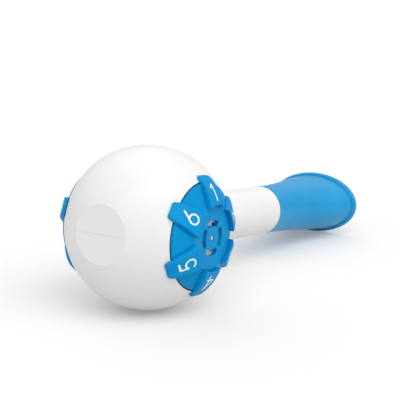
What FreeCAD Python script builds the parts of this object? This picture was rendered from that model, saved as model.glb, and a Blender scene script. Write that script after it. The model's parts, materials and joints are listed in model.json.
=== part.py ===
import FreeCAD, Part
import Sketcher
import math
import os

# Hand-held breathing trainer: a hollow ball with a neck and an oval mouthpiece.
# A numbered dial on each side of the ball sets the resistance for breathing in and for breathing out.
# The trainer lies on a surface, resting on its ball and on the rim of its mouthpiece.
# Lengths are in millimetres and angles in degrees.

V = FreeCAD.Vector
HALF = math.degrees(math.pi)
FULL = 2 * HALF
CLOSE = 0.02

# Driving dimensions
SIZES = (
    # Ball and neck, measured from the ball's centre along the tube
    ("ball_radius", 33.0, "outside of the ball"),
    ("shell_wall", 2.0, "wall of the ball and the neck"),
    ("flat_radius", 11.6, "flat at the ball's end"),
    ("neck_radius", 11.0, "outside of the neck, a 22 mm breathing connector"),
    ("neck_blend", 6.0, "hollow fillet between ball and neck"),
    ("neck_end", 91.0, "open end of the neck"),
    ("tongue_width", 0.8, "tongue along the seam of the shells"),
    ("tongue_height", 1.0, "how far the tongue stands up"),
    ("tongue_gap", 0.1, "play between tongue and groove"),
    ("overcut", 0.5, "how far a cutter runs past what it cuts"),
    # Pocket that each dial sits in
    ("pocket_radius", 21.5, "round pocket for a dial"),
    ("pocket_depth", 3.0, "floor of the pocket, below its edge"),
    ("pocket_wall", 1.8, "wall around the pocket"),
    ("floor_thickness", 2.0, "floor of the pocket"),
    ("seat_gap", 0.4, "play between the floor's opening and the seat"),
    # Mouthpiece, measured from its joint face
    ("mouth_length", 58.0, "from the joint to the lip rim"),
    ("mouth_neck_at", 16.0, "first section"),
    ("mouth_neck_half_width", 12.2, "half width there"),
    ("mouth_neck_half_height", 11.2, "half height there"),
    ("mouth_middle_at", 36.0, "second section"),
    ("mouth_middle_half_width", 17.0, "half width there"),
    ("mouth_middle_half_height", 12.2, "half height there"),
    ("mouth_half_width", 21.6, "half width where the rim begins"),
    ("mouth_half_height", 13.2, "half height where the rim begins"),
    ("mouth_wall", 1.9, "wall of the mouthpiece"),
    ("rim_stand", 1.4, "how far the rim stands out all round"),
    ("rim_thickness", 3.4, "rim along the tube"),
    ("rim_round", 1.25, "rounding of the rim's edges"),
    ("throat_gap", 0.4, "mouthpiece's passage beyond the connector's bore"),
    ("joint_round", 0.35, "rounding around the joint face"),
    # White connector between neck and mouthpiece
    ("connector_bore", 7.2, "air passage of the connector"),
    ("connector_insert", 14.0, "length held in the neck"),
    ("connector_spigot", 12.0, "length that the mouthpiece slides on"),
    ("spigot_radius", 8.9, "outside of the spigot"),
    ("spigot_lead", 0.8, "length of the spigot's lead-in"),
    ("spigot_lead_depth", 0.4, "depth of the spigot's lead-in"),
    ("press_gap", 0.03, "play of a pressed piece"),
    ("slide_gap", 0.1, "play of a sliding piece"),
    ("ring_cord", 0.9, "thickness of a sealing ring"),
    ("ring_side_gap", 0.09, "play beside a sealing ring"),
    ("ring_seat_gap", 0.03, "play under a sealing ring"),
    # Dial, measured along its own axis
    ("dial_gap", 0.5, "gap between dial and pocket"),
    ("dial_rise", 0.9, "dial's edge above the pocket's edge"),
    ("dial_edge", 1.0, "thickness of the dial's edge"),
    ("dial_ledge", 1.7, "width of the dial's edge underneath"),
    ("dial_dome", 4.5, "hub face above the dial's edge"),
    ("hub_radius", 12.7, "flat hub face"),
    ("hub_plate", 1.6, "thickness of the hub"),
    ("slot_inner", 4.6, "inside of the air slots"),
    ("slot_outer", 7.1, "outside of the air slots"),
    ("slot_half_angle", 32.0, "half the angle of one air slot, before its rounded ends"),
    ("slot_end", 0.6, "radius of a curved slot's ends, as a share of its width"),
    ("skirt_inner", 7.3, "bore of the skirt that carries the graded holes"),
    ("skirt_wall", 1.2, "wall of the skirt"),
    ("paddle_root_width", 10.2, "finger paddle at its inner end"),
    ("paddle_tip_width", 7.2, "finger paddle at its tip"),
    ("paddle_root_gap", 0.3, "paddles' inner ends outside the hub face"),
    ("paddle_root_rise", 2.1, "paddle's inner corners above the hub face"),
    ("paddle_overhang", 2.6, "paddle tips beyond the dial's edge"),
    ("paddle_tip_drop", 1.1, "paddle tip below the dial's edge"),
    ("paddle_arch", 22.0, "radius of the paddle's back"),
    ("paddle_corner", 1.6, "rounding of the paddle's tip corners"),
    ("paddle_edge", 0.6, "rounding of the paddle's long edges"),
    ("ball_clearance", 0.4, "paddle above the ball"),
    ("notch_radius", 0.5, "detent notches under the dial's edge"),
    ("notch_stop", 0.4, "dial's edge left outside the notches"),
    ("boss_radius", 2.4, "boss around the pivot pin"),
    ("boss_length", 2.2, "boss below the hub"),
    ("hole_level", 5.0, "graded holes below the pocket floor"),
    # Seat, measured from the pocket floor towards the ball's centre
    ("seat_flange", 1.2, "flange on the pocket floor"),
    ("seat_flange_gap", 0.6, "play around the flange"),
    ("seat_depth", 10.0, "underside of the seat's floor"),
    ("seat_floor", 1.4, "floor under the dial's skirt"),
    ("seat_bore_wall", 1.4, "wall of the bore for the skirt"),
    ("skirt_gap", 0.08, "running play of the skirt"),
    ("skirt_end_gap", 0.4, "skirt above the seat's floor"),
    ("seat_boss_wall", 1.2, "wall around the pin's shank"),
    ("seat_radius", 14.6, "outside of the seat's sleeve"),
    ("seat_sleeve", 2.0, "wall of the seat's sleeve"),
    ("chamber_height", 3.7, "space between seat floor and valve plate"),
    ("port_radius", 2.9, "port in the seat's bore"),
    ("seal_width", 0.9, "seal around the skirt, across"),
    ("seal_height", 0.85, "seal around the skirt, along the axis"),
    # Valve
    ("plate_radius", 13.3, "valve plate"),
    ("plate_thickness", 1.4, "valve plate"),
    ("valve_port_radius", 2.2, "ports through the plate"),
    ("valve_port_ring", 6.8, "circle that the ports stand on"),
    ("post_radius", 1.2, "post that guides the valve disc"),
    ("disc_radius", 10.5, "soft valve disc"),
    ("disc_thickness", 0.8, "soft valve disc"),
    ("disc_bead", 0.3, "bead around the disc's edge"),
    ("disc_bead_width", 0.6, "bead, and the slope inside it"),
    ("disc_gap", 0.05, "disc above the plate at rest"),
    ("disc_hole_gap", 0.15, "play of the disc on its post"),
    ("disc_lift", 1.2, "travel of the disc"),
    ("retainer_radius", 2.6, "push-on cap of the post"),
    ("retainer_thickness", 0.8, "push-on cap of the post"),
    # Pivot pin, baffle and click spring
    ("pin_radius", 0.7, "thin end of the pivot pin"),
    ("pin_shank", 1.6, "shank of the pivot pin"),
    ("pin_gap", 0.06, "running play of the dial on its pin"),
    ("pin_head", 0.95, "snap head of the pin"),
    ("pin_head_height", 0.4, "snap head of the pin"),
    ("pin_head_side", 0.15, "straight side of the snap head"),
    ("pin_recess", 0.6, "depth of the recess for the snap head"),
    ("baffle_gap", 0.2, "baffle below the hub"),
    ("baffle_thickness", 0.8, "baffle disc"),
    ("baffle_rim", 0.8, "baffle outside its windows"),
    ("window_half_angle", 20.0, "half the angle of one baffle window"),
    ("spring_thickness", 0.3, "leaf of the click spring"),
    ("spring_half_angle", 34.0, "half the angle of the leaf"),
    ("spring_width", 1.4, "leaf of the click spring"),
    ("bump_radius", 0.45, "bump of the click spring, as wide as a notch"),
    ("bump_gap", 0.1, "bump below the dial"),
)

# Graded holes: the first setting breathes most easily
INHALE_HOLES = (2.8, 2.4, 2.0, 1.6, 1.25, 0.9)
EXHALE_HOLES = (2.8, 2.3, 1.85, 1.4, 1.0)
SLOT_COUNT = 4
VALVE_PORT_COUNT = 6

# Places worked out from the driving dimensions, along a dial's axis from the ball's centre
FLAT_DISTANCE = "sqrt(dim.ball_radius^2 - dim.flat_radius^2)"
EDGE_LEVEL = "sqrt(dim.ball_radius^2 - dim.pocket_radius^2)"
FLOOR_LEVEL = "(%s - dim.pocket_depth)" % EDGE_LEVEL
RIM_TOP = "(%s + dim.dial_rise)" % EDGE_LEVEL
RIM_UNDER = "(%s - dim.dial_edge)" % RIM_TOP
RIM_RADIUS = "(dim.pocket_radius - dim.dial_gap)"
LEDGE = "(%s - dim.dial_ledge)" % RIM_RADIUS
CLICK_RADIUS = "(%s - dim.dial_ledge / 2)" % RIM_RADIUS
HUB_FACE = "(%s + dim.dial_dome)" % RIM_TOP
HUB_UNDER = "(%s - dim.hub_plate)" % HUB_FACE
CONE_SLOPE = "(dim.dial_dome / (%s - dim.hub_radius))" % RIM_RADIUS
SKIRT_RADIUS = "(dim.skirt_inner + dim.skirt_wall)"
SEAT_BORE = "(%s + dim.skirt_gap)" % SKIRT_RADIUS
BORE_OUTSIDE = "(%s + dim.seat_bore_wall)" % SEAT_BORE
SEAT_UNDER = "(%s - dim.seat_depth)" % FLOOR_LEVEL
SEAT_FLOOR_TOP = "(%s + dim.seat_floor)" % SEAT_UNDER
FLANGE_TOP = "(%s + dim.seat_flange)" % FLOOR_LEVEL
HOLE_LEVEL = "(%s - dim.hole_level)" % FLOOR_LEVEL
PLATE_OUTER = "(%s - dim.chamber_height)" % SEAT_UNDER
PLATE_INNER = "(%s - dim.plate_thickness)" % PLATE_OUTER
OPENING_RADIUS = "(dim.seat_radius + dim.seat_gap)"
BOSS_UNDER = "(%s - dim.boss_length)" % HUB_UNDER
PADDLE_ROOT = "(dim.hub_radius + dim.paddle_root_gap)"
PADDLE_CREST = "(%s + dim.paddle_root_rise)" % HUB_FACE
PADDLE_TIP = "(%s + dim.paddle_overhang)" % RIM_RADIUS
PADDLE_TIP_LEVEL = "(%s - dim.paddle_tip_drop)" % RIM_TOP
PADDLE_REACH = "sqrt(%s^2 + dim.paddle_tip_width^2 / 4)" % PADDLE_TIP
OVER_BALL = "(dim.ball_radius + dim.ball_clearance)"
PADDLE_FOOT = "(sqrt(%s^2 - %s^2) - dim.overcut)" % (OVER_BALL, PADDLE_REACH)
DISC_TRAVEL = "(dim.disc_gap + dim.disc_thickness + dim.disc_bead + dim.disc_lift + dim.disc_gap)"
POST_LENGTH = "(%s + dim.retainer_thickness)" % DISC_TRAVEL
NECK_BORE = "(dim.neck_radius - dim.shell_wall)"
SOCKET_RADIUS = "(dim.spigot_radius + dim.slide_gap)"
RIM_START = "(dim.neck_end + dim.mouth_length - dim.rim_thickness)"
MOUTH_END = "(dim.neck_end + dim.mouth_length)"

doc = FreeCAD.newDocument("breathing_trainer")
dim = doc.addObject("Spreadsheet::Sheet", "dim")
for row, (alias, size, meaning) in enumerate(SIZES, start=1):
    dim.set("A%d" % row, meaning)
    dim.set("B%d" % row, str(size))
    dim.setAlias("B%d" % row, alias)
doc.recompute()


def value(expression):
    """Number that an expression of the sheet stands for."""
    return float(dim.evalExpression(expression))


# Sketching


def plane_of(body, role):
    for feature in body.Origin.OriginFeatures:
        if feature.Role == role:
            return feature
    raise ValueError(role)


def new_body(label):
    body = doc.addObject("PartDesign::Body", label)
    body.Label = label
    return body


def new_sketch(body, role, level=None, turn=0.0):
    """Sketch on one of the body's own planes, raised to a level and turned about the plane's upright."""
    sketch = body.newObject("Sketcher::SketchObject", "sketch")
    sketch.AttachmentSupport = (plane_of(body, role), "")
    sketch.MapMode = "FlatFace"
    sketch.AttachmentOffset = FreeCAD.Placement(V(), FreeCAD.Rotation(V(0, 0, 1), turn))
    if level is not None:
        sketch.setExpression("AttachmentOffset.Base.z", level)
    return sketch


def bind(sketch, constraint, expression):
    number = sketch.addConstraint(constraint)
    sketch.setExpression("Constraints[%d]" % number, expression)


def place_point(sketch, piece, end, across, up):
    """Ties one point of a sketch to its distances from the origin."""
    bind(sketch, Sketcher.Constraint("DistanceX", -1, 1, piece, end, value(across)), across)
    bind(sketch, Sketcher.Constraint("DistanceY", -1, 1, piece, end, value(up)), up)


def arc_between(start, stop, radius, turn):
    """Short arc from start to stop; turn is 1 when it runs anticlockwise and -1 when clockwise."""
    chord = stop.sub(start)
    half = chord.Length / 2
    side = V(-chord.y, chord.x, 0).normalize()
    centre = start.add(stop).multiply(0.5).add(side.multiply(turn * math.sqrt(radius**2 - half**2)))
    first, last = (start, stop) if turn > 0 else (stop, start)
    circle = Part.Circle(centre, V(0, 0, 1), radius)
    return Part.ArcOfCircle(circle, circle.parameter(first), circle.parameter(last))


def add_outline(sketch, corners):
    """Closed outline through corners (across, up); (across, up, radius, turn) bends the edge that follows."""
    first = sketch.GeometryCount
    ends = []
    for index, corner in enumerate(corners):
        after = corners[(index + 1) % len(corners)]
        start = V(value(corner[0]), value(corner[1]), 0)
        stop = V(value(after[0]), value(after[1]), 0)
        if len(corner) == 2:
            sketch.addGeometry(Part.LineSegment(start, stop), False)
            ends.append((1, 2))
        else:
            sketch.addGeometry(arc_between(start, stop, value(corner[2]), corner[3]), False)
            ends.append((1, 2) if corner[3] > 0 else (2, 1))
    for index, corner in enumerate(corners):
        after = (index + 1) % len(corners)
        here, there = first + index, first + after
        sketch.addConstraint(Sketcher.Constraint("Coincident", here, ends[index][1], there, ends[after][0]))
        place_point(sketch, first + index, ends[index][0], corner[0], corner[1])
        if len(corner) > 2:
            bind(sketch, Sketcher.Constraint("Radius", first + index, value(corner[2])), corner[2])


def add_circle(sketch, radius, across="0", up="0"):
    centre = V(value(across), value(up), 0)
    piece = sketch.addGeometry(Part.Circle(centre, V(0, 0, 1), value(radius)), False)
    place_point(sketch, piece, 3, across, up)
    bind(sketch, Sketcher.Constraint("Radius", piece, value(radius)), radius)


def add_ellipse(sketch, half_width, half_height):
    """Upright oval about the sketch's origin, wider than it is high."""
    oval = sketch.addGeometry(Part.Ellipse(V(), value(half_width), value(half_height)), False)
    sketch.exposeInternalGeometry(oval)
    sketch.addConstraint(Sketcher.Constraint("Coincident", oval, 3, -1, 1))
    sketch.addConstraint(Sketcher.Constraint("Horizontal", oval + 1))
    bind(sketch, Sketcher.Constraint("Distance", oval + 1, 2 * value(half_width)), "2 * " + half_width)
    bind(sketch, Sketcher.Constraint("Distance", oval + 2, 2 * value(half_height)), "2 * " + half_height)


# Features


def turn_profile(body, kind, role, axis, corners, angle=FULL, backwards=False):
    """Revolution or Groove of an outline about an axis of its sketch."""
    sketch = new_sketch(body, role)
    add_outline(sketch, corners)
    feature = body.newObject("PartDesign::" + kind, kind.lower())
    feature.Profile = sketch
    feature.ReferenceAxis = (sketch, [axis])
    feature.Angle = angle
    feature.Reversed = backwards
    return feature


def extrude(body, kind, sketch, length, backwards=False, midplane=False):
    """Pad or Pocket of a sketch."""
    feature = body.newObject("PartDesign::" + kind, kind.lower())
    feature.Profile = sketch
    feature.setExpression("Length", length)
    feature.Reversed = backwards
    if midplane:
        feature.Midplane = True
    return feature


def repeat_around(body, features, count):
    """Even pattern of features about the body's Z axis."""
    pattern = body.newObject("PartDesign::PolarPattern", "pattern")
    pattern.Originals = features
    pattern.Axis = (plane_of(body, "Z_Axis"), [""])
    pattern.Angle = FULL
    pattern.Occurrences = count
    body.Tip = pattern
    return pattern


def mirror_across(body, features, role):
    mirror = body.newObject("PartDesign::Mirrored", "mirror")
    mirror.Originals = features
    mirror.MirrorPlane = (plane_of(body, role), [""])
    body.Tip = mirror
    return mirror


def drill(body, radius, reach, rotation, base=V()):
    """Round cutter from a point, along the turned Z axis."""
    cutter = body.newObject("PartDesign::SubtractiveCylinder", "drill")
    cutter.setExpression("Radius", radius)
    cutter.setExpression("Height", reach)
    cutter.Placement = FreeCAD.Placement(base, rotation)
    return cutter


def round_edges(body, radius, wanted):
    """Fillet on the edges of the body's last feature that a test picks."""
    doc.recompute()
    base = body.Tip
    names = ["Edge%d" % (i + 1) for i, edge in enumerate(base.Shape.Edges) if wanted(edge)]
    fillet = body.newObject("PartDesign::Fillet", "fillet")
    fillet.Base = (base, names)
    fillet.setExpression("Radius", radius)
    return fillet


def spoke(angle):
    """Rotation that lays the Z axis along a radius; angle 0 is a dial's upward mark, growing clockwise."""
    return FreeCAD.Rotation(V(0, 0, 1), -angle).multiply(FreeCAD.Rotation(V(1, 0, 0), -90))


# Ball and neck


def skin(depth):
    """Half outline of the ball and neck at a depth below the surface, from the end flat to the neck's end."""
    ball = "(dim.ball_radius - %s)" % depth
    flat = "(%s - %s)" % (FLAT_DISTANCE, depth)
    neck = "(dim.neck_radius - %s)" % depth
    blend_up = "(dim.neck_radius + dim.neck_blend)"
    blend_along = "sqrt((dim.ball_radius + dim.neck_blend)^2 - %s^2)" % blend_up
    share = "(%s / (dim.ball_radius + dim.neck_blend))" % ball
    blend = "(dim.neck_blend + %s)" % depth
    return [
        ("-" + flat, "0"),
        ("-" + flat, "sqrt(%s^2 - %s^2)" % (ball, flat), ball, -1),
        ("%s * %s" % (blend_along, share), "%s * %s" % (blend_up, share), blend, 1),
        (blend_along, neck),
        ("dim.neck_end", neck),
    ]


def flip(corners):
    """The same open run of corners, walked backwards."""
    flipped = []
    for index in range(len(corners) - 1, -1, -1):
        bend = corners[index - 1][2:] if index > 0 else ()
        if bend:
            bend = (bend[0], -bend[1])
        flipped.append(corners[index][:2] + bend)
    return flipped


def wall_section(outer, inner):
    """Closed section of a wall between two depths below the surface."""
    return skin(outer) + flip(skin(inner))


def pocket_ring():
    """Section of one dial pocket's floor and wall, in distance from the dial's axis and from the centre."""
    middle = "(dim.ball_radius - dim.shell_wall / 2)"
    outside = "(dim.pocket_radius + dim.pocket_wall)"
    under = "%s - dim.floor_thickness" % FLOOR_LEVEL
    return [
        (OPENING_RADIUS, FLOOR_LEVEL),
        ("dim.pocket_radius", FLOOR_LEVEL),
        ("dim.pocket_radius", "sqrt(%s^2 - dim.pocket_radius^2)" % middle, middle, -1),
        (outside, "sqrt(%s^2 - %s^2)" % (middle, outside)),
        (outside, under),
        (OPENING_RADIUS, under),
    ]


def make_shell(label, upper):
    """Half of the ball and neck; the seam lies in the plane through the tube and both dials."""
    body = new_body(label)
    wall = wall_section("0", "dim.shell_wall")
    turn_profile(body, "Revolution", "XY_Plane", "H_Axis", wall, HALF, not upper)
    if not upper:
        add_seam(body, "Pad", "0")
    hollow = [
        ("0", FLOOR_LEVEL + " - dim.floor_thickness"),
        ("dim.pocket_radius", FLOOR_LEVEL + " - dim.floor_thickness"),
        ("dim.pocket_radius", "2 * dim.ball_radius"),
        ("0", "2 * dim.ball_radius"),
    ]
    cut = turn_profile(body, "Groove", "XY_Plane", "V_Axis", hollow)
    mirror_across(body, [cut], "XZ_Plane")
    ring = turn_profile(body, "Revolution", "XY_Plane", "V_Axis", pocket_ring(), HALF, upper)
    mirror_across(body, [ring], "XZ_Plane")
    if upper:
        add_seam(body, "Pocket", "dim.tongue_gap")
    return body


def add_seam(body, kind, slack):
    """Tongue or groove along the middle of the wall, on both sides of the tube."""
    outer = "((dim.shell_wall - dim.tongue_width) / 2 - %s)" % slack
    inner = "((dim.shell_wall + dim.tongue_width) / 2 + %s)" % slack
    sketch = new_sketch(body, "XY_Plane")
    add_outline(sketch, wall_section(outer, inner))
    seam = extrude(body, kind, sketch, "dim.tongue_height + " + slack, backwards=kind == "Pocket")
    mirror_across(body, [seam], "XZ_Plane")


# Mouthpiece and its connector


def oval_section(body, at, half_width, half_height):
    sketch = new_sketch(body, "YZ_Plane", at)
    add_ellipse(sketch, half_width, half_height)
    return sketch


def make_mouthpiece():
    """Tube that widens from the round joint to an oval lip with a rounded rim."""
    body = new_body("mouthpiece")
    stations = (
        ("dim.neck_end + dim.mouth_neck_at", "dim.mouth_neck_half_width", "dim.mouth_neck_half_height"),
        ("dim.neck_end + dim.mouth_middle_at", "dim.mouth_middle_half_width", "dim.mouth_middle_half_height"),
        (RIM_START, "dim.mouth_half_width", "dim.mouth_half_height"),
    )
    joint = new_sketch(body, "YZ_Plane", "dim.neck_end")
    add_circle(joint, "dim.neck_radius")
    outside = body.newObject("PartDesign::AdditiveLoft", "outside")
    outside.Profile = joint
    outside.Sections = [oval_section(body, *station) for station in stations]
    reach = "(dim.mouth_half_width + dim.rim_stand)"
    rim = oval_section(body, RIM_START, reach, "(dim.mouth_half_height + dim.rim_stand)")
    extrude(body, "Pad", rim, "dim.rim_thickness")

    def on_rim(edge):
        box = edge.BoundBox
        return box.XLength < CLOSE and abs(box.YMax - value(reach)) < CLOSE

    round_edges(body, "dim.rim_round", on_rim)
    throat = new_sketch(body, "YZ_Plane", "dim.neck_end + dim.connector_spigot")
    add_circle(throat, "dim.connector_bore + dim.throat_gap")
    inside = body.newObject("PartDesign::SubtractiveLoft", "inside")
    inside.Profile = throat
    inside.Sections = [
        oval_section(
            body,
            at,
            "(%s - dim.mouth_wall)" % half_width,
            "(%s - dim.mouth_wall)" % half_height,
        )
        for at, half_width, half_height in (
            stations[1],
            (MOUTH_END, "dim.mouth_half_width", "dim.mouth_half_height"),
        )
    ]
    socket = new_sketch(body, "YZ_Plane", "dim.neck_end")
    add_circle(socket, SOCKET_RADIUS)
    extrude(body, "Pocket", socket, "dim.connector_spigot + dim.press_gap", backwards=True)

    def on_joint(edge):
        box = edge.BoundBox
        return box.XMax < value("dim.neck_end") + CLOSE and box.YMax > value("dim.neck_radius") - CLOSE

    round_edges(body, "dim.joint_round", on_joint)
    return body


def ring_groove_corners(radius, along):
    """Section of the groove for a sealing ring, cut into a round wall of a given radius."""
    deep = "%s - dim.ring_cord + dim.ring_seat_gap" % radius
    near = "%s - dim.ring_cord / 2 - dim.ring_side_gap" % along
    far = "%s + dim.ring_cord / 2 + dim.ring_side_gap" % along
    clear = "%s + dim.overcut" % radius
    return [(near, deep), (far, deep), (far, clear), (near, clear)]


def make_connector():
    """Tube pressed into the neck; the mouthpiece pushes on to its free end over a sealing ring."""
    body = new_body("mouthpiece_connector")
    start = "(dim.neck_end - dim.connector_insert)"
    stop = "(dim.neck_end + dim.connector_spigot)"
    insert = "(%s - dim.press_gap)" % NECK_BORE
    section = [
        (start, "dim.connector_bore"),
        (start, insert),
        ("dim.neck_end", insert),
        ("dim.neck_end", "dim.spigot_radius"),
        (stop + " - dim.spigot_lead", "dim.spigot_radius"),
        (stop, "dim.spigot_radius - dim.spigot_lead_depth"),
        (stop, "dim.connector_bore"),
    ]
    turn_profile(body, "Revolution", "XY_Plane", "H_Axis", section)
    groove = ring_groove_corners("dim.spigot_radius", "(dim.neck_end + dim.connector_spigot / 2)")
    turn_profile(body, "Groove", "XY_Plane", "H_Axis", groove)
    return body


def make_ring(label, role, axis, centre_radius, along):
    """Round sealing ring about a tube's or a dial's axis."""
    body = new_body(label)
    sketch = new_sketch(body, role)
    if axis == "H_Axis":
        add_circle(sketch, "dim.ring_cord / 2", along, centre_radius)
    else:
        add_circle(sketch, "dim.ring_cord / 2", centre_radius, along)
    ring = body.newObject("PartDesign::Revolution", "ring")
    ring.Profile = sketch
    ring.ReferenceAxis = (sketch, [axis])
    ring.Angle = FULL
    return body


# Dial; from here on the dial's axis is drawn upright, and each piece is laid on its side afterwards


def dial_section():
    """Section of the dial: hub, sloping face, edge, skirt and boss, from the pin's hole outwards."""
    hole = "(dim.pin_radius + dim.pin_gap)"
    recess = "(dim.pin_head + dim.pin_gap * 2)"
    skirt_end = "(%s + dim.skirt_end_gap)" % SEAT_FLOOR_TOP
    return [
        (hole, BOSS_UNDER),
        (hole, HUB_FACE + " - dim.pin_recess"),
        (recess, HUB_FACE + " - dim.pin_recess"),
        (recess, HUB_FACE),
        ("dim.hub_radius", HUB_FACE),
        (RIM_RADIUS, RIM_TOP),
        (RIM_RADIUS, RIM_UNDER),
        (SKIRT_RADIUS, RIM_UNDER),
        (SKIRT_RADIUS, skirt_end),
        ("dim.skirt_inner", skirt_end),
        ("dim.skirt_inner", HUB_UNDER),
        ("dim.boss_radius", HUB_UNDER),
        ("dim.boss_radius", BOSS_UNDER),
    ]


def underside():
    """Section cut below the dial: the hollow outside the skirt, and room for the ball under the paddles."""
    below = "(%s - dim.overcut)" % PADDLE_FOOT
    return [
        (SKIRT_RADIUS, below),
        (SKIRT_RADIUS, HUB_UNDER),
        ("(%s - (%s - %s) / %s)" % (LEDGE, HUB_UNDER, RIM_UNDER, CONE_SLOPE), HUB_UNDER),
        (LEDGE, RIM_UNDER),
        (RIM_RADIUS, RIM_UNDER),
        (RIM_RADIUS, "sqrt(%s^2 - %s^2)" % (OVER_BALL, RIM_RADIUS), OVER_BALL, -1),
        (PADDLE_REACH, "sqrt(%s^2 - %s^2)" % (OVER_BALL, PADDLE_REACH)),
        (PADDLE_REACH, below),
    ]


def kidney(sketch, inner, outer, half_angle, middle=0.0):
    """Curved slot with rounded ends between two radii, about an angle from the sketch's first axis."""
    end = "(dim.slot_end * (%s - %s))" % (outer, inner)
    low = "(%s - %s)" % (middle, half_angle)
    high = "(%s + %s)" % (middle, half_angle)
    add_outline(
        sketch,
        [
            ("%s * cos(%s)" % (inner, low), "%s * sin(%s)" % (inner, low), end, 1),
            ("%s * cos(%s)" % (outer, low), "%s * sin(%s)" % (outer, low), outer, 1),
            ("%s * cos(%s)" % (outer, high), "%s * sin(%s)" % (outer, high), end, 1),
            ("%s * cos(%s)" % (inner, high), "%s * sin(%s)" % (inner, high), inner, -1),
        ],
    )


def add_paddles(body, count):
    """Finger paddles: they taper outwards under an arched back and reach over the ball."""
    root_half = "(dim.paddle_root_width / 2)"
    root_along = "sqrt(%s^2 - %s^2)" % (PADDLE_ROOT, root_half)
    tip_half = "(dim.paddle_tip_width / 2)"
    above = "(%s + dim.overcut)" % PADDLE_CREST
    sketch = new_sketch(body, "XY_Plane", PADDLE_FOOT)
    outline = [
        (root_half, root_along),
        (tip_half, PADDLE_TIP),
        ("-" + tip_half, PADDLE_TIP),
        ("-" + root_half, root_along, PADDLE_ROOT, -1),
    ]
    add_outline(sketch, outline)
    paddle = extrude(body, "Pad", sketch, "%s - %s" % (above, PADDLE_FOOT))
    side = new_sketch(body, "YZ_Plane")
    over_back = [
        (root_along, PADDLE_CREST, "dim.paddle_arch", -1),
        (PADDLE_TIP, PADDLE_TIP_LEVEL),
        (PADDLE_TIP + " + dim.overcut", PADDLE_TIP_LEVEL),
        (PADDLE_TIP + " + dim.overcut", above + " + dim.overcut"),
        (root_along + " - dim.overcut", above + " + dim.overcut"),
        (root_along + " - dim.overcut", PADDLE_CREST),
    ]
    add_outline(side, over_back)
    back = extrude(body, "Pocket", side, "dim.paddle_root_width + 2 * dim.overcut", midplane=True)
    repeat_around(body, [paddle, back], count)

    def is_tip_corner(edge):
        ends = [vertex.Point for vertex in edge.Vertexes]
        upright = len(ends) == 2 and math.hypot(ends[0].x - ends[1].x, ends[0].y - ends[1].y) < CLOSE
        return upright and abs(math.hypot(ends[0].x, ends[0].y) - value(PADDLE_REACH)) < CLOSE

    round_edges(body, "dim.paddle_corner", is_tip_corner)
    arch = value("dim.paddle_arch")
    root = V(value(root_along), value(PADDLE_CREST), 0)
    tip = V(value(PADDLE_TIP), value(PADDLE_TIP_LEVEL), 0)
    centre = arc_between(root, tip, arch, -1).Center
    step = 2 * math.pi / count

    def is_back_edge(edge):
        middle = edge.valueAt((edge.FirstParameter + edge.LastParameter) / 2)
        if math.hypot(middle.x, middle.y) < value(PADDLE_ROOT) + CLOSE:
            return False
        for point in [middle] + [vertex.Point for vertex in edge.Vertexes]:
            angle = math.atan2(point.x, point.y)
            along = math.hypot(point.x, point.y) * math.cos(angle - step * round(angle / step))
            if abs(math.hypot(along - centre.x, point.z - centre.y) - arch) > CLOSE:
                return False
        return True

    round_edges(body, "dim.paddle_edge", is_back_edge)


def make_dial(label, holes):
    """Dial with finger paddles, air slots and a skirt whose graded holes pass the seat's port one by one."""
    body = new_body(label)
    turn_profile(body, "Revolution", "XZ_Plane", "V_Axis", dial_section())
    add_paddles(body, len(holes))
    turn_profile(body, "Groove", "XZ_Plane", "V_Axis", underside())
    sketch = new_sketch(body, "XY_Plane", HUB_UNDER + " - dim.overcut")
    kidney(sketch, "dim.slot_inner", "dim.slot_outer", "dim.slot_half_angle")
    slot = extrude(body, "Pocket", sketch, "dim.hub_plate + 2 * dim.overcut", backwards=True)
    repeat_around(body, [slot], SLOT_COUNT)
    start = V(0, value(LEDGE + " - dim.overcut"), value(RIM_UNDER))
    reach = "dim.overcut + dim.dial_ledge - dim.notch_stop"
    notch = drill(body, "dim.notch_radius", reach, spoke(0), start)
    repeat_around(body, [notch], len(holes))
    for index, radius in enumerate(holes):
        towards = spoke(FULL * index / len(holes) + HALF)
        drill(body, str(radius), SKIRT_RADIUS + " + dim.overcut", towards, V(0, 0, value(HOLE_LEVEL)))
    return body


# Seat and what it holds


def seat_section():
    """Section of the seat: flange, bore for the skirt, floor with the pin's boss, and the outer sleeve."""
    flange = "(dim.pocket_radius - dim.seat_flange_gap)"
    sleeve_inside = "(dim.seat_radius - dim.seat_sleeve)"
    seal_radius = "(%s + dim.seal_width)" % SEAT_BORE
    boss_top = "(%s + dim.boss_length)" % SEAT_FLOOR_TOP
    return [
        ("dim.pin_shank + dim.press_gap", SEAT_UNDER),
        ("dim.pin_shank + dim.press_gap", boss_top),
        ("dim.pin_shank + dim.seat_boss_wall", boss_top),
        ("dim.pin_shank + dim.seat_boss_wall", SEAT_FLOOR_TOP),
        (SEAT_BORE, SEAT_FLOOR_TOP),
        (SEAT_BORE, FLANGE_TOP + " - dim.seal_height"),
        (seal_radius, FLANGE_TOP + " - dim.seal_height"),
        (seal_radius, FLANGE_TOP),
        (flange, FLANGE_TOP),
        (flange, FLOOR_LEVEL),
        ("dim.seat_radius", FLOOR_LEVEL),
        ("dim.seat_radius", PLATE_INNER),
        ("dim.plate_radius + dim.press_gap", PLATE_INNER),
        ("dim.plate_radius + dim.press_gap", PLATE_OUTER),
        (sleeve_inside, PLATE_OUTER),
        (sleeve_inside, FLOOR_LEVEL),
        (BORE_OUTSIDE, FLOOR_LEVEL),
        (BORE_OUTSIDE, SEAT_UNDER),
    ]


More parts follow.
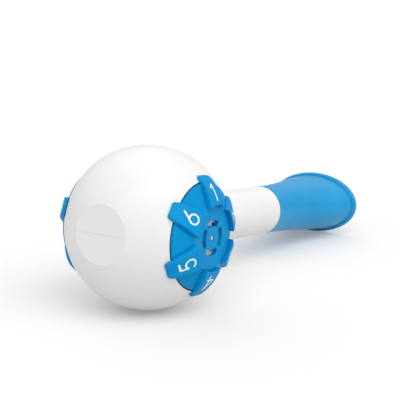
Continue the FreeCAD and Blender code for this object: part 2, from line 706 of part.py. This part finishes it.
def make_seat(label):
    body = new_body(label)
    turn_profile(body, "Revolution", "XZ_Plane", "V_Axis", seat_section())
    along = "(%s - dim.floor_thickness / 2)" % FLOOR_LEVEL
    groove = [(corner[1], corner[0]) for corner in ring_groove_corners("dim.seat_radius", along)]
    turn_profile(body, "Groove", "XZ_Plane", "V_Axis", groove)
    drill(body, "dim.port_radius", BORE_OUTSIDE + " + dim.overcut", spoke(HALF), V(0, 0, value(HOLE_LEVEL)))
    return body


def make_pin(label):
    """Pivot pin: shank in the seat, thin end through the dial's hub, snap head in the hub's recess."""
    body = new_body(label)
    shoulder = "(%s - dim.slide_gap)" % BOSS_UNDER
    head = "(%s - dim.pin_recess + dim.pin_gap)" % HUB_FACE
    section = [
        ("0", SEAT_UNDER),
        ("dim.pin_shank", SEAT_UNDER),
        ("dim.pin_shank", shoulder),
        ("dim.pin_radius", shoulder),
        ("dim.pin_radius", head),
        ("dim.pin_head", head),
        ("dim.pin_head", head + " + dim.pin_head_side"),
        ("dim.pin_radius", head + " + dim.pin_head_height"),
        ("0", head + " + dim.pin_head_height"),
    ]
    turn_profile(body, "Revolution", "XZ_Plane", "V_Axis", section)
    return body


def make_baffle(label):
    """Disc behind the air slots; its windows stand behind the hub's ribs."""
    body = new_body(label)
    top = "(%s - dim.baffle_gap)" % HUB_UNDER
    sketch = new_sketch(body, "XY_Plane", top + " - dim.baffle_thickness")
    add_circle(sketch, "dim.skirt_inner - dim.press_gap")
    add_circle(sketch, "dim.boss_radius + dim.press_gap")
    extrude(body, "Pad", sketch, "dim.baffle_thickness")
    opening = new_sketch(body, "XY_Plane", top + " - dim.baffle_thickness - dim.overcut")
    outside = "(dim.skirt_inner - dim.baffle_rim)"
    kidney(opening, "dim.slot_inner", outside, "dim.window_half_angle", FULL / SLOT_COUNT / 2)
    window = extrude(body, "Pocket", opening, "dim.baffle_thickness + 2 * dim.overcut", backwards=True)
    repeat_around(body, [window], SLOT_COUNT)
    return body


def make_click_spring(label):
    """Leaf on the seat's flange whose bump clicks into the notches under the dial's edge."""
    body = new_body(label)
    inner = "(%s - dim.spring_width / 2)" % CLICK_RADIUS
    outer = "(%s + dim.spring_width / 2)" % CLICK_RADIUS
    leaf = new_sketch(body, "XY_Plane", FLANGE_TOP)
    kidney(leaf, inner, outer, "dim.spring_half_angle", HALF / 2)
    extrude(body, "Pad", leaf, "dim.spring_thickness")
    bump = new_sketch(body, "XY_Plane", FLANGE_TOP + " + dim.spring_thickness / 2")
    add_circle(bump, "dim.bump_radius", "0", CLICK_RADIUS)
    height = "%s - dim.bump_gap - %s - dim.spring_thickness / 2" % (RIM_UNDER, FLANGE_TOP)
    extrude(body, "Pad", bump, height)
    return body


def make_seal(label):
    """Soft ring around the skirt, in the mouth of the seat's bore."""
    body = new_body(label)
    sketch = new_sketch(body, "XY_Plane", FLANGE_TOP + " - dim.seal_height")
    add_circle(sketch, "%s + dim.seal_width - dim.press_gap" % SEAT_BORE)
    add_circle(sketch, "%s + dim.press_gap" % SKIRT_RADIUS)
    extrude(body, "Pad", sketch, "dim.seal_height - dim.press_gap")
    return body


def make_plate(label, opens_inwards):
    """Plate with a ring of ports and a post; the post points the way that its valve disc lifts."""
    body = new_body(label)
    sketch = new_sketch(body, "XY_Plane", PLATE_INNER)
    add_circle(sketch, "dim.plate_radius")
    extrude(body, "Pad", sketch, "dim.plate_thickness")
    ports = new_sketch(body, "XY_Plane", PLATE_INNER + " - dim.overcut")
    add_circle(ports, "dim.valve_port_radius", "dim.valve_port_ring")
    port = extrude(body, "Pocket", ports, "dim.plate_thickness + 2 * dim.overcut", backwards=True)
    repeat_around(body, [port], VALVE_PORT_COUNT)
    foot = new_sketch(body, "XY_Plane", PLATE_INNER if opens_inwards else PLATE_OUTER)
    add_circle(foot, "dim.post_radius")
    extrude(body, "Pad", foot, POST_LENGTH, backwards=opens_inwards)
    return body


def away(opens_inwards, distance):
    """Level at a distance from the side of the plate that its valve disc lies on."""
    if opens_inwards:
        return "(%s - (%s))" % (PLATE_INNER, distance)
    return "(%s + (%s))" % (PLATE_OUTER, distance)


def make_valve_disc(label, opens_inwards):
    """Soft disc over the ports, with a bead around its free edge."""
    body = new_body(label)
    hole = "(dim.post_radius + dim.disc_hole_gap)"
    near = away(opens_inwards, "dim.disc_gap")
    far = away(opens_inwards, "dim.disc_gap + dim.disc_thickness")
    bead = away(opens_inwards, "dim.disc_gap + dim.disc_thickness + dim.disc_bead")
    section = [
        (hole, near),
        ("dim.disc_radius", near),
        ("dim.disc_radius", bead),
        ("dim.disc_radius - dim.disc_bead_width", bead),
        ("dim.disc_radius - 2 * dim.disc_bead_width", far),
        (hole, far),
    ]
    turn_profile(body, "Revolution", "XZ_Plane", "V_Axis", section)
    return body


def make_retainer(label, opens_inwards):
    """Cap pushed on to the end of the post."""
    body = new_body(label)
    level = away(opens_inwards, POST_LENGTH) if opens_inwards else away(opens_inwards, DISC_TRAVEL)
    sketch = new_sketch(body, "XY_Plane", level)
    add_circle(sketch, "dim.retainer_radius")
    add_circle(sketch, "dim.post_radius + dim.press_gap")
    extrude(body, "Pad", sketch, "dim.retainer_thickness")
    return body


def make_side(side, holes, opens_inwards):
    """Everything that belongs to one dial."""
    ring_level = "(%s - dim.floor_thickness / 2)" % FLOOR_LEVEL
    ring_radius = "(dim.seat_radius - dim.ring_cord / 2 + 2 * dim.ring_seat_gap)"
    return [
        make_dial(side + "_dial", holes),
        make_baffle(side + "_baffle"),
        make_pin(side + "_pivot_pin"),
        make_click_spring(side + "_click_spring"),
        make_seal(side + "_skirt_seal"),
        make_seat(side + "_seat"),
        make_ring(side + "_seat_ring", "XZ_Plane", "V_Axis", ring_radius, ring_level),
        make_plate(side + "_valve_plate", opens_inwards),
        make_valve_disc(side + "_valve_disc", opens_inwards),
        make_retainer(side + "_valve_retainer", opens_inwards),
    ]


# Attitude: nose-down until the ball and the lip rim touch the surface together


def lying_placement():
    ball = value("dim.ball_radius")
    rim_round = value("dim.rim_round")
    rim_along = value(MOUTH_END) - rim_round
    rim_down = value("dim.mouth_half_height + dim.rim_stand") - rim_round
    tilt = math.asin((ball - rim_round) / math.hypot(rim_along, rim_down)) - math.atan2(rim_down, rim_along)
    flat = value(FLAT_DISTANCE)
    front = rim_along * math.cos(tilt) + rim_down * math.sin(tilt) + rim_round
    back = -flat * math.cos(tilt) - math.sqrt(ball**2 - flat**2) * math.sin(tilt)
    turn = FreeCAD.Rotation(V(0, 1, 0), math.degrees(tilt))
    return FreeCAD.Placement(V(-(front + back) / 2, 0, ball), turn)


LAID = lying_placement()
TO_INHALE_SIDE = FreeCAD.Placement(V(), FreeCAD.Rotation(V(1, 0, 0), 90))
HALF_TURN = FreeCAD.Placement(V(), FreeCAD.Rotation(V(0, 0, 1), HALF))

tube_parts = [
    make_shell("upper_shell", True),
    make_shell("lower_shell", False),
    make_mouthpiece(),
    make_connector(),
    make_ring(
        "connector_ring",
        "XY_Plane",
        "H_Axis",
        "(dim.spigot_radius - dim.ring_cord / 2 + 2 * dim.ring_seat_gap)",
        "(dim.neck_end + dim.connector_spigot / 2)",
    ),
]
inhale_parts = make_side("inhale", INHALE_HOLES, True)
exhale_parts = make_side("exhale", EXHALE_HOLES, False)

for body in tube_parts:
    body.Placement = LAID
for body in inhale_parts:
    body.Placement = LAID.multiply(TO_INHALE_SIDE)
for body in exhale_parts:
    body.Placement = LAID.multiply(HALF_TURN).multiply(TO_INHALE_SIDE)
doc.recompute()

# Check and write
parts = tube_parts + inhale_parts + exhale_parts
for thing in doc.Objects:
    if "Invalid" in thing.State or "Error" in thing.State:
        raise RuntimeError("%s of %s failed" % (thing.Name, thing.Label))
for body in parts:
    if body.Shape.isNull() or not body.Shape.isValid() or not body.Shape.Solids:
        raise RuntimeError(body.Label + " has no sound shape")

os.makedirs("parts", exist_ok=True)
for body in parts:
    shape = body.Shape
    shape.exportStep("parts/%s.step" % body.Label)
    print("%-24s solids %d volume %9.2f" % (body.Label, len(shape.Solids), shape.Volume))
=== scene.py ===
import json
import math
import bpy
import bmesh
from mathutils import Matrix, Vector
from mathutils.bvhtree import BVHTree
from mathutils.geometry import delaunay_2d_cdt


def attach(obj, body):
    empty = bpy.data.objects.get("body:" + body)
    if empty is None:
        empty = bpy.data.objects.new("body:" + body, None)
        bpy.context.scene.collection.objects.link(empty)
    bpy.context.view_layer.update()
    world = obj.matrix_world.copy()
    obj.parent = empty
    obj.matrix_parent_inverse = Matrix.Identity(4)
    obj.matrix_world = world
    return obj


# Looks of a hand-held breathing trainer that lies on a pale surface.
# Lengths are in metres, apart from the digits' strokes, which are in millimetres.

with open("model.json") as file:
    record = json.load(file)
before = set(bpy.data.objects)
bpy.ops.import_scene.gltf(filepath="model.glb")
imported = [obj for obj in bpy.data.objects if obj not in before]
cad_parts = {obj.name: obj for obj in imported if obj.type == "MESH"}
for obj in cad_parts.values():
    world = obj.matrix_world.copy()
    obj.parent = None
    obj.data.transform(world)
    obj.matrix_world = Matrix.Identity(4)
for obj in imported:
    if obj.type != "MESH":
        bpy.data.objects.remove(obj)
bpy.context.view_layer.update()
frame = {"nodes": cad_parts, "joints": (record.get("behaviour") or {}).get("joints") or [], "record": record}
MM = 0.001

# Places taken from the frame

JOINTS = {joint["name"]: joint for joint in frame["joints"]}
BALL_CENTRE = Vector(JOINTS["inhale_dial_turn"]["pos_m"])
BALL_RADIUS = BALL_CENTRE.z
TUBE = Vector(JOINTS["mouthpiece_pull"]["axis"]).normalized()
ACROSS = Vector((0, 1, 0))
UPRIGHT = TUBE.cross(ACROSS).normalized()


# Materials

RAMP_ENDS = (0.3, 0.7)
EDGE_ROUND = 0.12 * MM
EDGE_RAYS = 6
SEAM_HALF = 0.16 * MM
SEAM_RELIEF = 0.05 * MM
SEAM_FAINT = 0.06
SEAM_TINT = 0.55
SEAM_GREY = (0.38, 0.38, 0.39)
DASHES_PER_METRE = 110
DASH_RANGE = (-0.9, 1.6)
FLAT_FROM = 0.93 * BALL_RADIUS
# Painted shadow: a dark band on the mouthpiece along its joint with the neck
JOINT_LINE = 0.8 * MM
JOINT_RIM = 0.5 * MM
JOINT_SHADE = (0.0, 0.03, 0.07)
# Painted shade in the dials' corners and grooves
CORNER_REACH = 1.3 * MM
CORNER_DEPTH = 0.75
CORNER_RAYS = 8
CORNER_SHADE_BLUE = (0.0, 0.06, 0.20)
BLUE_DARK = (0.001, 0.276, 0.620)
BLUE_LIGHT = (0.001, 0.308, 0.670)
MOUTH_DARK = (0.001, 0.290, 0.605)
MOUTH_LIGHT = (0.001, 0.330, 0.665)
WHITE_DARK = (0.83, 0.835, 0.84)
WHITE_LIGHT = (0.865, 0.865, 0.865)
INNER_DARK = (0.66, 0.65, 0.62)
INNER_LIGHT = (0.72, 0.71, 0.68)
SEAL_BLACK = (0.02, 0.02, 0.022)
CLOUD_GAIN = 1.25
CLOUD_LIFT = 0.005
SILICONE = (0.55, 0.62, 0.66)
SILICONE_DEPTH = 1.2 * MM
STEEL = (0.62, 0.62, 0.60)
INK_DARK = (0.88, 0.9, 0.92)
INK_LIGHT = (0.94, 0.95, 0.96)


def new_material(name):
    material = bpy.data.materials.new(name)
    material.use_nodes = True
    return material


def maths(tree, operation, first, second=None, clamp=False):
    """Math node between two sockets or numbers."""
    made = tree.nodes.new("ShaderNodeMath")
    made.operation = operation
    made.use_clamp = clamp
    for socket, source in zip(made.inputs, (first, second)):
        if isinstance(source, (int, float)):
            socket.default_value = source
        elif source is not None:
            tree.links.new(source, socket)
    return made.outputs[0]


class Surface:
    """A Principled material with helpers that wire noise into its colour, roughness and bump."""

    def __init__(self, name, colour, roughness, sheen=0.3):
        self.material = new_material(name)
        self.tree = self.material.node_tree
        self.shader = self.tree.nodes["Principled BSDF"]
        self.shader.inputs["Base Color"].default_value = (*colour, 1)
        self.shader.inputs["Roughness"].default_value = roughness
        self.shader.inputs["Specular IOR Level"].default_value = sheen
        self.place = self.tree.nodes.new("ShaderNodeTexCoord").outputs["Object"]

    def node(self, kind, **settings):
        made = self.tree.nodes.new(kind)
        for key, setting in settings.items():
            setattr(made, key, setting)
        return made

    def link(self, start, stop):
        self.tree.links.new(start, stop)

    def maths(self, operation, first, second=None, clamp=False):
        return maths(self.tree, operation, first, second, clamp)

    def noise(self, scale, detail, stretch=(1, 1, 1)):
        """Noise over the piece; scale is in features per metre."""
        mapping = self.node("ShaderNodeMapping")
        mapping.inputs["Scale"].default_value = stretch
        self.link(self.place, mapping.inputs["Vector"])
        texture = self.node("ShaderNodeTexNoise")
        texture.inputs["Scale"].default_value = scale
        texture.inputs["Detail"].default_value = detail
        self.link(mapping.outputs[0], texture.inputs["Vector"])
        return texture.outputs["Fac"]

    def between(self, source, low, high):
        """Spreads a 0 to 1 value over a range."""
        made = self.node("ShaderNodeMapRange")
        made.inputs["To Min"].default_value = low
        made.inputs["To Max"].default_value = high
        self.link(source, made.inputs["Value"])
        return made.outputs["Result"]

    def colours(self, source, dark, light):
        """Base colour that runs from one colour to another with a 0 to 1 value."""
        ramp = self.node("ShaderNodeValToRGB")
        for element, position, colour in zip(ramp.color_ramp.elements, RAMP_ENDS, (dark, light)):
            element.position = position
            element.color = (*colour, 1)
        self.link(source, ramp.inputs["Fac"])
        return ramp.outputs["Color"]

    def base(self, source):
        self.link(source, self.shader.inputs["Base Color"])

    def tint(self, amount, colour):
        """Mixes a colour over the base colour that is already wired."""
        mix = self.node("ShaderNodeMix", data_type="RGBA")
        self.link(amount, mix.inputs["Factor"])
        self.link(self.shader.inputs["Base Color"].links[0].from_socket, mix.inputs["A"])
        mix.inputs["B"].default_value = (*colour, 1)
        self.base(mix.outputs["Result"])

    def paint_corner_shade(self, reach, colour):
        """Painted shade: deeper colour in corners and grooves, where ambient occlusion finds them hidden
        from light.
        """
        hidden = self.node("ShaderNodeAmbientOcclusion", samples=CORNER_RAYS)
        hidden.inputs["Distance"].default_value = reach
        self.tint(self.between(hidden.outputs["AO"], CORNER_DEPTH, 0.0), colour)

    def from_centre(self):
        """Vector from the ball's centre to a spot."""
        offset = self.node("ShaderNodeVectorMath", operation="SUBTRACT")
        offset.inputs[1].default_value = BALL_CENTRE
        self.link(self.place, offset.inputs[0])
        return offset.outputs[0]

    def distance_along(self, direction):
        """Distance of a spot from the ball's centre, measured along a direction."""
        measured = self.node("ShaderNodeVectorMath", operation="DOT_PRODUCT")
        measured.inputs[1].default_value = direction
        self.link(self.from_centre(), measured.inputs[0])
        return measured.outputs["Value"]

    def distance_from_axis(self, direction):
        """Distance of a spot from the line through the ball's centre along a direction."""
        across = self.node("ShaderNodeVectorMath", operation="CROSS_PRODUCT")
        across.inputs[1].default_value = direction
        self.link(self.from_centre(), across.inputs[0])
        length = self.node("ShaderNodeVectorMath", operation="LENGTH")
        self.link(across.outputs[0], length.inputs[0])
        return length.outputs["Value"]

    def rough(self, source):
        self.link(source, self.shader.inputs["Roughness"])

    def bump(self, source, depth, strength):
        """Adds relief; depth is its height in metres."""
        made = self.node("ShaderNodeBump")
        made.inputs["Distance"].default_value = depth
        made.inputs["Strength"].default_value = strength
        self.link(source, made.inputs["Height"])
        normal = self.shader.inputs["Normal"]
        if normal.is_linked:
            self.link(normal.links[0].from_socket, made.inputs["Normal"])
        self.link(made.outputs["Normal"], normal)

    def soften(self, radius):
        """Rounds the look of sharp edges."""
        made = self.node("ShaderNodeBevel", samples=EDGE_RAYS)
        made.inputs["Radius"].default_value = radius
        self.link(made.outputs["Normal"], self.shader.inputs["Normal"])


def moulded_plastic(name, dark, light, roughness, sheen=0.3, grain=1800):
    """Moulded plastic: faint cloudiness, a fine spark-eroded grain and slow waves from moulding."""
    surface = Surface(name, light, roughness, sheen)
    surface.soften(EDGE_ROUND)
    surface.base(surface.colours(surface.noise(scale=60, detail=4), dark, light))
    uneven = surface.noise(scale=220, detail=3)
    surface.rough(surface.between(uneven, low=roughness - 0.05, high=roughness + 0.07))
    surface.bump(surface.noise(scale=90, detail=2), depth=0.02 * MM, strength=0.5)
    surface.bump(surface.noise(scale=grain, detail=2), depth=0.006 * MM, strength=0.6)
    return surface


def shell_plastic():
    """White plastic with the faint, broken parting line of its two halves."""
    surface = moulded_plastic("shell_white", WHITE_DARK, WHITE_LIGHT, roughness=0.42)
    distance = surface.maths("ABSOLUTE", surface.distance_along(UPRIGHT))
    line = surface.maths("SUBTRACT", 1.0, surface.maths("DIVIDE", distance, SEAM_HALF), clamp=True)
    on_flat = surface.maths("GREATER_THAN", surface.distance_along(-TUBE), FLAT_FROM)
    weight = surface.maths("ADD", SEAM_FAINT, surface.maths("MULTIPLY", on_flat, 1 - SEAM_FAINT))
    dashes = surface.between(surface.noise(DASHES_PER_METRE, detail=1), *DASH_RANGE)
    broken = surface.maths("MULTIPLY", surface.maths("MULTIPLY", line, dashes, clamp=True), weight)
    surface.tint(surface.maths("MULTIPLY", broken, SEAM_TINT), SEAM_GREY)
    groove = surface.maths("MULTIPLY", surface.maths("MULTIPLY", line, weight), -1.0)
    surface.bump(groove, SEAM_RELIEF, strength=0.8)
    return surface


def grip_plastic():
    """Blue of the dials, with a matt grain for the fingers."""
    surface = moulded_plastic("grip_blue", BLUE_DARK, BLUE_LIGHT, roughness=0.4, sheen=0.07)
    # Painted shade: the blue darkens in corners and where the paddles meet the cone.
    surface.paint_corner_shade(CORNER_REACH, CORNER_SHADE_BLUE)
    return surface


def polished_plastic():
    """Blue of the mouthpiece, smooth so that it wipes clean, with a painted shadow line at its joint."""
    surface = moulded_plastic("polished_blue", MOUTH_DARK, MOUTH_LIGHT, 0.33, sheen=0.32, grain=700)
    offsets = [vertex.co - BALL_CENTRE for vertex in frame["nodes"]["mouthpiece"].data.vertices]
    joint = min(offset.dot(TUBE) for offset in offsets)
    near_joint = [offset for offset in offsets if offset.dot(TUBE) < joint + JOINT_LINE]
    joint_radius = max(offset.cross(TUBE).length for offset in near_joint)
    beyond = surface.maths("SUBTRACT", surface.distance_along(TUBE), joint)
    line = surface.maths("SUBTRACT", 1.0, surface.maths("DIVIDE", beyond, JOINT_LINE), clamp=True)
    inside = surface.maths("SUBTRACT", joint_radius, surface.distance_from_axis(TUBE))
    rim = surface.maths("SUBTRACT", 1.0, surface.maths("DIVIDE", inside, JOINT_RIM), clamp=True)
    # Painted shadow: darkens the mouthpiece's blue in a thin band at the joint.
    surface.tint(surface.maths("MULTIPLY", line, rim), JOINT_SHADE)
    return surface


def rubber(name, colour, roughness):
    """Soft moulding, a little cloudy and with a fine grain."""
    surface = Surface(name, colour, roughness)
    lighter = tuple(channel * CLOUD_GAIN + CLOUD_LIFT for channel in colour)
    surface.base(surface.colours(surface.noise(scale=300, detail=3), colour, lighter))
    surface.bump(surface.noise(scale=1500, detail=2), depth=0.01 * MM, strength=0.5)
    return surface


def clear_silicone():
    """Milky silicone of the valve discs, which lets some light in."""
    surface = rubber("valve_silicone", SILICONE, roughness=0.38)
    surface.shader.inputs["Subsurface Weight"].default_value = 0.3
    surface.shader.inputs["Subsurface Radius"].default_value = (SILICONE_DEPTH,) * 3
    return surface


def spring_steel():
    """Rolled strip, with its grain along the leaf."""
    surface = Surface("spring_steel", STEEL, roughness=0.35)
    surface.shader.inputs["Metallic"].default_value = 1.0
    grain = surface.noise(scale=2500, detail=3, stretch=(1, 1, 0.08))
    surface.rough(surface.between(grain, low=0.3, high=0.42))
    surface.bump(grain, depth=0.004 * MM, strength=0.6)
    return surface


def printed_white():
    """Thick printing ink, a little uneven."""
    surface = Surface("digit_ink", INK_LIGHT, roughness=0.5)
    surface.base(surface.colours(surface.noise(scale=900, detail=3), INK_DARK, INK_LIGHT))
    surface.bump(surface.noise(scale=2400, detail=2), depth=0.005 * MM, strength=0.5)
    return surface


SLOT_SURFACES = {
    "shell": shell_plastic(),
    "grip_blue": grip_plastic(),
    "inner_white": moulded_plastic("inner_white", INNER_DARK, INNER_LIGHT, roughness=0.5),
    "seal": rubber("seal_rubber", SEAL_BLACK, roughness=0.6),
    "valve": clear_silicone(),
    "spring": spring_steel(),
}
POLISHED_BLUE = polished_plastic()
INK = printed_white()


def dress_cad_nodes():
    """Gives each solid the surface of its slot; the mouthpiece has a smoother blue than the dials."""
    for part in frame["record"]["subparts"]:
        mesh = frame["nodes"][part["node"]].data
        mesh.materials.clear()
        surface = POLISHED_BLUE if part["node"] == "mouthpiece" else SLOT_SURFACES[part["material_slot"]]
        mesh.materials.append(surface.material)


# Digits on the paddles, in millimetres about the digit's middle, with its top towards the paddle's tip


def arc(centre, radius, start, stop, count=24):
    """Points along an arc, angles in degrees."""
    points = []
    for index in range(count + 1):
        angle = math.radians(start + (stop - start) * index / count)
        points.append((centre[0] + radius * math.cos(angle), centre[1] + radius * math.sin(angle)))
    return points


TOP = 2.85
DIGIT_STROKES = {
    1: [[(-1.25, 1.75), (0.15, TOP)], [(0.15, TOP), (0.15, -TOP)]],
    2: [arc((0.0, 1.25), 1.6, 165, -35), [(1.31, 0.33), (-1.7, -TOP)], [(-1.7, -TOP), (1.8, -TOP)]],
    3: [arc((-0.05, 1.4), 1.45, 155, -90), arc((-0.05, -1.25), 1.6, 90, -155)],
    4: [[(0.75, -TOP), (0.75, TOP)], [(0.75, TOP), (-1.9, -1.25)], [(-1.9, -1.25), (1.9, -1.25)]],
    5: [[(1.45, TOP), (-1.15, TOP)], [(-1.15, TOP), (-1.4, 0.2)], arc((-0.15, -1.0), 1.85, 130, -150)],
    6: [arc((0.15, -1.05), 1.85, 150, 510, 40), [(1.35, TOP), (-1.45, -0.15)]],
}
STROKE_HALF = 0.32
CAP_POINTS = 16
STEP = 0.3
MERGE_WITHIN = 1e-4
INK_LIFT = 0.035 * MM
INK_DEPTH = 0.12 * MM
DIGIT_OUT = 17.7 * MM


def resample(points, step):
    """The same line with a point at least every step."""
    dense = [Vector(points[0])]
    for start, stop in zip(points, points[1:]):
        start, stop = Vector(start), Vector(stop)
        pieces = max(1, math.ceil((stop - start).length / step))
        dense += [start.lerp(stop, index / pieces) for index in range(1, pieces + 1)]
    return dense


def band(line):
    """Quads that cover a smooth stroke, and a round cap on each end."""
    sides = []
    for index, point in enumerate(line):
        along = line[min(index + 1, len(line) - 1)] - line[max(index - 1, 0)]
        side = Vector((-along.y, along.x)).normalized() * STROKE_HALF
        sides.append((point - side, point + side))
    quads = [[near[0], far[0], far[1], near[1]] for near, far in zip(sides, sides[1:])]
    caps = [arc(end, STROKE_HALF, 0, 360, CAP_POINTS)[:-1] for end in (line[0], line[-1])]
    return quads + [[Vector(point) for point in cap] for cap in caps]


def is_inked(spot, lines):
    """Whether a spot lies on one of the strokes."""
    for line in lines:
        for start, stop in zip(line, line[1:]):
            along = stop - start
            share = min(1, max(0, (spot - start).dot(along) / along.length_squared))
            if (spot - start - along * share).length < STROKE_HALF:
                return True
    return False


def digit_triangles(digit):
    """Flat triangles of a digit, with the overlaps of its strokes joined and its eyes left open."""
    lines = [resample(stroke, STEP) for stroke in DIGIT_STROKES[digit]]
    points, faces = [], []
    for line in lines:
        for piece in band(line):
            faces.append(list(range(len(points), len(points) + len(piece))))
            points += piece
    flat, _, triangles, *_ = delaunay_2d_cdt(points, [], faces, 1, MERGE_WITHIN)
    inked = []
    for first, second, third in triangles:
        if is_inked((flat[first] + flat[second] + flat[third]) / 3, lines):
            inked.append((first, second, third))
    return flat, inked


def make_digit(side, digit, count, inward):
    """Raised ink that follows its paddle; inward points along the dial's axis to the ball."""
    dial = frame["nodes"][side + "_dial"]
    skin = BVHTree.FromPolygons(
        [vertex.co for vertex in dial.data.vertices],
        [polygon.vertices for polygon in dial.data.polygons],
    )
    angle = 2 * math.pi * (digit - 1) / count
    right_hand = inward.cross(UPRIGHT)
    outward = UPRIGHT * math.cos(angle) + right_hand * math.sin(angle)
    right = right_hand * math.cos(angle) - UPRIGHT * math.sin(angle)
    flat, triangles = digit_triangles(digit)
    mesh = bmesh.new()
    top, bottom = {}, {}
    for index in sorted({index for triangle in triangles for index in triangle}):
        start = BALL_CENTRE + right * flat[index].x * MM + outward * (DIGIT_OUT + flat[index].y * MM)
        spot, *_ = skin.ray_cast(start - inward * 2 * BALL_RADIUS, inward)
        top[index] = mesh.verts.new(spot - inward * INK_LIFT)
        bottom[index] = mesh.verts.new(spot + inward * INK_DEPTH)
    edges = set()
    for triangle in triangles:
        corners = list(triangle)
        mesh.faces.new([top[index] for index in corners])
        mesh.faces.new([bottom[index] for index in reversed(corners)])
        edges.update(zip(corners, corners[1:] + corners[:1]))
    for start, stop in sorted(edges):
        if (stop, start) not in edges:
            mesh.faces.new([top[stop], top[start], bottom[start], bottom[stop]])
    bmesh.ops.recalc_face_normals(mesh, faces=mesh.faces)
    data = bpy.data.meshes.new("%s_digit_%d" % (side, digit))
    mesh.to_mesh(data)
    mesh.free()
    data.materials.append(INK.material)
    piece = bpy.data.objects.new(data.name, data)
    bpy.context.scene.collection.objects.link(piece)
    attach(piece, side + "_dial")


def make_digits():
    """One digit on each paddle of both dials."""
    for side, count, inward in (("inhale", 6, ACROSS), ("exhale", 5, -ACROSS)):
        for digit in range(1, count + 1):
            make_digit(side, digit, count, inward)


# Floor, light and camera

FLOOR_SIZE = 6.0
FLOOR_CELLS = 8
FLOOR_COLOUR = (0.72, 0.71, 0.70)
FLOOR_GLOW = 0.225
SKY_LIGHT = 0.63
SIDE_LIGHT = 0.3
SOFTBOX_FROM = 0.7


def make_floor():
    """Matt pale floor that takes the shadow; a faint glow in view lifts its open area to white."""
    bpy.ops.mesh.primitive_grid_add(x_subdivisions=FLOOR_CELLS, y_subdivisions=FLOOR_CELLS, size=FLOOR_SIZE)
    floor = bpy.context.object
    floor.name = "floor"
    material = new_material("floor_paper")
    tree = material.node_tree
    tree.nodes.clear()
    matt = tree.nodes.new("ShaderNodeBsdfDiffuse")
    matt.inputs["Color"].default_value = (*FLOOR_COLOUR, 1)
    path = tree.nodes.new("ShaderNodeLightPath")
    seen = maths(tree, "MAXIMUM", path.outputs["Is Camera Ray"], path.outputs["Is Transmission Ray"])
    seen = maths(tree, "MAXIMUM", seen, path.outputs["Is Glossy Ray"])
    glow = tree.nodes.new("ShaderNodeEmission")
    glow.inputs["Color"].default_value = (1, 1, 1, 1)
    tree.links.new(maths(tree, "MULTIPLY", seen, FLOOR_GLOW), glow.inputs["Strength"])
    both = tree.nodes.new("ShaderNodeAddShader")
    tree.links.new(matt.outputs[0], both.inputs[0])
    tree.links.new(glow.outputs[0], both.inputs[1])
    output = tree.nodes.new("ShaderNodeOutputMaterial")
    tree.links.new(both.outputs[0], output.inputs["Surface"])
    floor.data.materials.append(material)


def make_world():
    """Even soft sky that shows as white; in reflections it is white above and greyer to the sides."""
    world = bpy.data.worlds.new("studio")
    world.use_nodes = True
    bpy.context.scene.world = world
    tree = world.node_tree
    path = tree.nodes.new("ShaderNodeLightPath")
    direction = tree.nodes.new("ShaderNodeSeparateXYZ")
    place = tree.nodes.new("ShaderNodeTexCoord")
    tree.links.new(place.outputs["Generated"], direction.inputs[0])
    mirrored = tree.nodes.new("ShaderNodeMapRange")
    mirrored.inputs["From Max"].default_value = SOFTBOX_FROM
    mirrored.inputs["To Min"].default_value = SIDE_LIGHT
    tree.links.new(direction.outputs["Z"], mirrored.inputs["Value"])
    in_view = maths(tree, "MAXIMUM", path.outputs["Is Camera Ray"], path.outputs["Is Transmission Ray"])
    lift = maths(tree, "MULTIPLY", in_view, 1 - SKY_LIGHT)
    gleam = maths(tree, "SUBTRACT", mirrored.outputs["Result"], SKY_LIGHT)
    gleam = maths(tree, "MULTIPLY", gleam, path.outputs["Is Glossy Ray"])
    strength = maths(tree, "ADD", maths(tree, "ADD", lift, gleam), SKY_LIGHT)
    background = tree.nodes["Background"]
    background.inputs["Color"].default_value = (1, 1, 1, 1)
    tree.links.new(strength, background.inputs["Strength"])


# Name, direction towards the lamp, spread in degrees, strength
SUNS = (
    ("light_key", (-0.51, -0.32, 0.75), 45, 0.65),
    ("light_dial_side", (-0.14, -0.62, 0.75), 45, 0.82),
    ("light_end_of_tube", (0.4, -0.81, 0.4), 60, 0.13),
    ("light_behind", (0.32, 0.4, 0.75), 60, 0.36),
)


def make_sun(name, towards, spread, strength):
    """Very soft, even light from a direction; spread is its width in degrees."""
    data = bpy.data.lights.new(name, "SUN")
    data.angle = math.radians(spread)
    data.energy = strength
    lamp = bpy.data.objects.new(name, data)
    lamp.rotation_euler = Vector(towards).to_track_quat("Z", "Y").to_euler()
    bpy.context.scene.collection.objects.link(lamp)


# The camera has the photograph's view, solved from the ball's outline, the dial and the lip rim

PHOTO_WIDTH = 400
SENSOR = 36.0
FOCAL_PIXELS = 1170.0
AZIMUTH = math.radians(-57.53)
ELEVATION = math.radians(13.17)
BALL_PIXEL = (147.4, 227.4)
BALL_DISTANCE = 14.11 * BALL_RADIUS


def make_camera():
    """Camera that puts the ball's centre on its pixel of the photograph."""
    back = Vector(
        (
            math.sin(AZIMUTH) * math.cos(ELEVATION),
            -math.cos(AZIMUTH) * math.cos(ELEVATION),
            math.sin(ELEVATION),
        )
    )
    right = (-back).cross(Vector((0, 0, 1))).normalized()
    up = right.cross(-back)
    middle = PHOTO_WIDTH / 2
    aside = (BALL_PIXEL[0] - middle) / FOCAL_PIXELS * BALL_DISTANCE
    below = (BALL_PIXEL[1] - middle) / FOCAL_PIXELS * BALL_DISTANCE
    data = bpy.data.cameras.new("camera")
    data.sensor_width = SENSOR
    data.lens = FOCAL_PIXELS / PHOTO_WIDTH * SENSOR
    camera = bpy.data.objects.new("camera", data)
    turned = Matrix((right, up, back)).transposed()
    place = BALL_CENTRE + back * BALL_DISTANCE - right * aside + up * below
    camera.matrix_world = Matrix.Translation(place) @ turned.to_4x4()
    bpy.context.scene.collection.objects.link(camera)
    bpy.context.scene.camera = camera


dress_cad_nodes()
make_digits()
make_floor()
make_world()
for sun in SUNS:
    make_sun(*sun)
make_camera()
bpy.context.scene.view_settings.view_transform = "Standard"
